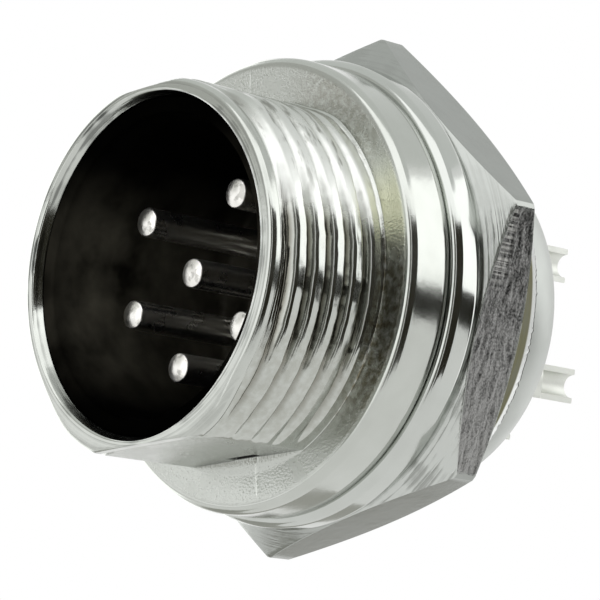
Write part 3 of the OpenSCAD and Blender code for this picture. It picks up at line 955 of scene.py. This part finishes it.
# %% Nut grid
NUT_Y = 1.5
NUT_END_Y = 6.0
NUT_BORE_R = 7.95
NUT_FLAT_R = 9.62
NUT_CORNER_ANGLE = 11.8
NUT_TRIM = 29.45
NUT_FRONT_R = 9.42
COLLAR_R = 9.5
COLLAR_Y = 4.15
LIP_R = 8.9
LIP_Y = 5.35
BURR = 0.12
NUT_REAR_R = 8.6
FRONT_SLOPE = math.tan(math.radians(26))
REAR_SLOPE = math.tan(math.radians(27))
REAR_LATHE = 0.5
TORN_SIDE = 5
FLAT_COLUMNS = 27
TORN_COLUMNS = 131
FLAT_ROWS = 34
BURR_JAGGED = 0.1

side_columns = [TORN_COLUMNS if side == TORN_SIDE else FLAT_COLUMNS for side in range(6)]
side_steps = [np.append(np.linspace(-NUT_TRIM, NUT_TRIM, columns), 30.0) for columns in side_columns]
off_flat = np.concatenate(side_steps)
nut_angles = np.concatenate([
    NUT_CORNER_ANGLE + 30 + 60 * side + steps for side, steps in enumerate(side_steps)])
on_torn_side = np.concatenate([
    np.full(len(steps), float(side == TORN_SIDE)) for side, steps in enumerate(side_steps)])
nut_reach = NUT_FLAT_R / np.cos(np.radians(np.minimum(np.abs(off_flat), NUT_TRIM)))
front_edge = NUT_Y + (nut_reach - NUT_FRONT_R) * FRONT_SLOPE
rear_edge = COLLAR_Y - (nut_reach - COLLAR_R) * REAR_SLOPE
torn_here = on_torn_side * ramp(NUT_TRIM - np.abs(off_flat), 0.1, 0.7)
jagged = np.array([noise.noise(Vector((angle * 0.9, 0, 0))) + 0.6 * noise.noise(Vector((angle * 2.9, 5, 0)))
                   for angle in nut_angles])
# The turning rings are strongest at the lower corner
from_right = (nut_angles + 180) % 360 - 180
ring_columns = 0.3 + 0.7 * ramp(from_right, -95, -70) * (1 - ramp(from_right, -42, -18))
film_columns = on_torn_side * ramp(NUT_TRIM - np.abs(off_flat), 0.5, 9)
nut_rows, nut_marks = [], []


def nut_row(radius, along, lathe=1.0, torn=0.0, dulled=0.0, burr=0.0):
    nut_rows.append((np.broadcast_to(radius, nut_angles.shape), np.broadcast_to(along, nut_angles.shape)))
    nut_marks.append([np.broadcast_to(mark, nut_angles.shape) for mark in (lathe, torn, dulled, burr)])


for along in np.linspace(NUT_END_Y - 0.3, NUT_Y + 0.3, 4):
    nut_row(NUT_BORE_R, along)
for radius in np.linspace(NUT_BORE_R + 0.3, NUT_FRONT_R, 5):
    nut_row(radius, NUT_Y)
for share in np.linspace(0, 1, 8)[1:]:
    radius = NUT_FRONT_R + share * (nut_reach - NUT_FRONT_R)
    nut_row(radius, NUT_Y + (radius - NUT_FRONT_R) * FRONT_SLOPE, ring_columns)
for share in np.linspace(0, 1, FLAT_ROWS + 1)[1:]:
    edge_share = min(share, 1 - share) * FLAT_ROWS
    nut_row(nut_reach, front_edge + share * (rear_edge - front_edge), 0.0,
            torn_here * min(edge_share / 1.5, 1))
for share in np.linspace(1, 0, 6)[1:]:
    radius = COLLAR_R + share * (nut_reach - COLLAR_R)
    nut_row(radius, COLLAR_Y - (radius - COLLAR_R) * REAR_SLOPE, REAR_LATHE)
for share in np.linspace(0, 1, 8)[1:]:
    nut_row(COLLAR_R + share * (LIP_R - COLLAR_R), COLLAR_Y + share * (LIP_Y - COLLAR_Y), REAR_LATHE, 0.0,
            film_columns * (share < 0.9))
# The tool left a jagged burr on the lip's end
# Its last rows carry a painted shadow line along the burr
for share in (0.3, 0.55, 0.78, 0.8, 1.0):
    along = LIP_Y + share * (NUT_END_Y - BURR + BURR_JAGGED * jagged - LIP_Y)
    nut_row(LIP_R + share * (NUT_REAR_R - LIP_R), along, REAR_LATHE, 0.0, 0.0, film_columns * (share > 0.79))
for radius in np.linspace(NUT_REAR_R, NUT_BORE_R + 0.3, 4)[1:]:
    nut_row(radius, NUT_END_Y - BURR, REAR_LATHE)

nut_turns = np.radians(nut_angles)
nut = grid_object("clamping_nut", np.array(
    [np.stack([r * np.cos(nut_turns), y, r * np.sin(nut_turns)], axis=-1) for r, y in nut_rows]))
for index, name in enumerate(("lathe_cut", "torn", "dulled", "burr")):
    add_attribute(nut, name, np.array([marks[index] for marks in nut_marks]))
print("nut across its flats in mm:", 2 * NUT_FLAT_R)

# %% [markdown]
# ## Drawn bar, good and torn
#
# Plated steel bar is a soft grey mirror. The lathe leaves rings on the chamfers, and the
# torn flat is a field of small steep tears that catch no clear reflection, so it looks dark
# and streaky. The tears are real points moved in the mesh, and a fine bump goes on top.
# The flat's dark grey and its darker upper end are also painted, as reflection and shade.

# %% Nut finish
bar_nickel, bar_tree, bar_shader, bar_place, bar_tint, bar_rough, bar_grain = plated_metal(
    "nickel_on_drawn_bar", "#A6A9A5", "#999C98", (0.13, 0.22), 0.5, 0.004)
lathe_cut, torn, dulled, burr, torn_across, torn_along, chatter = [
    add_node(bar_tree, "ShaderNodeAttribute", attribute_name=name).outputs["Fac"]
    for name in ("lathe_cut", "torn", "dulled", "burr", "torn_across", "torn_along", "chatter")]

# Torn metal: grains of about 0.1 mm, and streaks of 0.22 mm drawn out across the flat
torn_place = add_node(bar_tree, "ShaderNodeCombineXYZ", {"X": torn_across, "Y": torn_along}).outputs[0]
streak_place = add_node(bar_tree, "ShaderNodeVectorMath", {
    0: torn_place, 1: (0.28, 1.0, 1.0)}, operation="MULTIPLY").outputs[0]
tears, streaks = [
    add_node(bar_tree, "ShaderNodeTexNoise", {
        "Vector": place, "Scale": 1 / (grain * MM), "Detail": 4.0}).outputs["Fac"]
    for place, grain in ((bar_place, 0.1), (streak_place, 0.22))]
# Bars that a chattering tool left at one end, about 0.15 mm apart
bars = add_node(bar_tree, "ShaderNodeTexNoise", {
    "W": torn_across, "Scale": 1 / (0.15 * MM)}, noise_dimensions="1D").outputs["Fac"]
# Turning rings: really about 0.1 mm apart, drawn at 0.16 mm so that they show
rings = turned_lines(bar_tree, bar_place, 0.16)

tear_height, ring_height = [
    add_node(bar_tree, "ShaderNodeMath", {0: pattern, 1: where}, operation="MULTIPLY").outputs[0]
    for pattern, where in ((tears, torn), (rings, lathe_cut))]
bar_normal = bar_grain
for height, depth in ((tear_height, 0.035), (ring_height, 0.012)):
    bar_normal = add_node(bar_tree, "ShaderNodeBump", {
        "Height": height, "Distance": depth * MM, "Normal": bar_normal}).outputs["Normal"]
bar_tree.links.new(bar_normal, bar_shader.inputs["Normal"])

# Painted shade: the tears are darker towards the flat's upper end
streak_sum = add_node(bar_tree, "ShaderNodeMath", {0: streaks, 1: tears}, operation="ADD").outputs[0]
streaks_and_painted_shade = add_node(bar_tree, "ShaderNodeMath", {
    0: torn_across, 1: -0.04 / MM, 2: streak_sum}, operation="MULTIPLY_ADD").outputs[0]
streak_and_shade_share, bar_share = [
    add_node(bar_tree, "ShaderNodeMapRange", {
        "Value": value, "From Min": start, "From Max": stop}).outputs["Result"]
    for value, start, stop in ((streaks_and_painted_shade, 0.69, 1.17), (bars, 0.47, 0.56))]
bars_here = add_node(bar_tree, "ShaderNodeMath", {0: bar_share, 1: chatter}, operation="MULTIPLY").outputs[0]
# The torn flat's dark grey is painted reflection of dark surroundings, with lighter streaks and chatter bars
# over it
torn_and_shaded_tint = linear("#333332")
for share, colour in ((streak_and_shade_share, "#9C9C9A"), (bars_here, "#B4B4B0")):
    torn_and_shaded_tint = add_node(bar_tree, "ShaderNodeMix", {
        "Factor": share, "A": torn_and_shaded_tint, "B": linear(colour)}, data_type="RGBA").outputs["Result"]
coated(bar_tree, bar_shader, bar_tint, bar_rough, (
    (lathe_cut, 1.0, "#C6C9C5", 0),  # freshly turned faces are brighter than the drawn flats
    (torn, 1.0, torn_and_shaded_tint, 0.22),
    (dulled, 1.0, "#77765F", 0.4),  # the collar next to the torn flat has an oily olive film
    (ring_height, 0.6, "#7D7F7A", 0),
    (burr, 1.0, "#1C1C18", 0)))  # painted shadow: a thin dark line along the burr
# The olive film is oily and the burr's line is painted shadow, so neither has the metal's mirror nor a sheen
oiled_or_shadowed = add_node(bar_tree, "ShaderNodeMath", {0: dulled, 1: burr}, operation="MAXIMUM").outputs[0]
bare = add_node(bar_tree, "ShaderNodeMath", {0: 1.0, 1: oiled_or_shadowed}, operation="SUBTRACT").outputs[0]
bare_sheen = add_node(bar_tree, "ShaderNodeMath", {0: bare, 1: 0.5}, operation="MULTIPLY").outputs[0]
bar_tree.links.new(bare, bar_shader.inputs["Metallic"])
bar_tree.links.new(bare_sheen, bar_shader.inputs["Specular IOR Level"])
print("finish made:", bar_nickel.name)

# %% Nut edges
NUT_EDGE = 0.04

nut.data.materials.append(bar_nickel)
edges = nut.modifiers.new("broken_edges", "BEVEL")
edges.width = NUT_EDGE * MM
edges.segments = 2
edges.limit_method = "ANGLE"
edges.angle_limit = math.radians(20)
settle(nut)

# %% Torn flat
TEAR_DEPTH = 0.05

count = len(nut.data.vertices)
nut_points = np.empty(count * 3, np.float32)
nut.data.vertices.foreach_get("co", nut_points)
nut_points = nut_points.reshape(-1, 3)
torn_points = np.empty(count, np.float32)
nut.data.attributes["torn"].data.foreach_get("value", torn_points)
flat_turn = math.radians(NUT_CORNER_ANGLE + 30 + 60 * TORN_SIDE)
flat_normal = np.array([math.cos(flat_turn), 0, math.sin(flat_turn)])
flat_across = np.array([-math.sin(flat_turn), 0, math.cos(flat_turn)])
for index in np.flatnonzero(torn_points > 0.01):
    across, along = nut_points[index] @ flat_across / MM, nut_points[index][1] / MM
    streak = noise.noise(Vector((across * 0.9, along * 4.5, 3.0)))
    tear = noise.noise(Vector((across * 3.0, along * 8.0, 9.0)))
    height = 0.7 * streak + 0.5 * tear - 0.6
    nut_points[index] += flat_normal * TEAR_DEPTH * height * torn_points[index] * MM
nut.data.vertices.foreach_set("co", nut_points.ravel())
nut.data.update()
nut.data.set_sharp_from_angle(angle=math.radians(36))
points_across, points_along = nut_points @ flat_across, nut_points[:, 1]
add_attribute(nut, "torn_across", points_across)
add_attribute(nut, "torn_along", points_along)
chatter_here = ramp(points_across / MM, 1.5, 3.2) * (1 - ramp(points_along / MM, 2.2, 2.8))
add_attribute(nut, "chatter", torn_points * chatter_here)
print("torn points:", int((torn_points > 0.01).sum()))
dress(nut, "nut", "nickel_nut", "hex_nut")
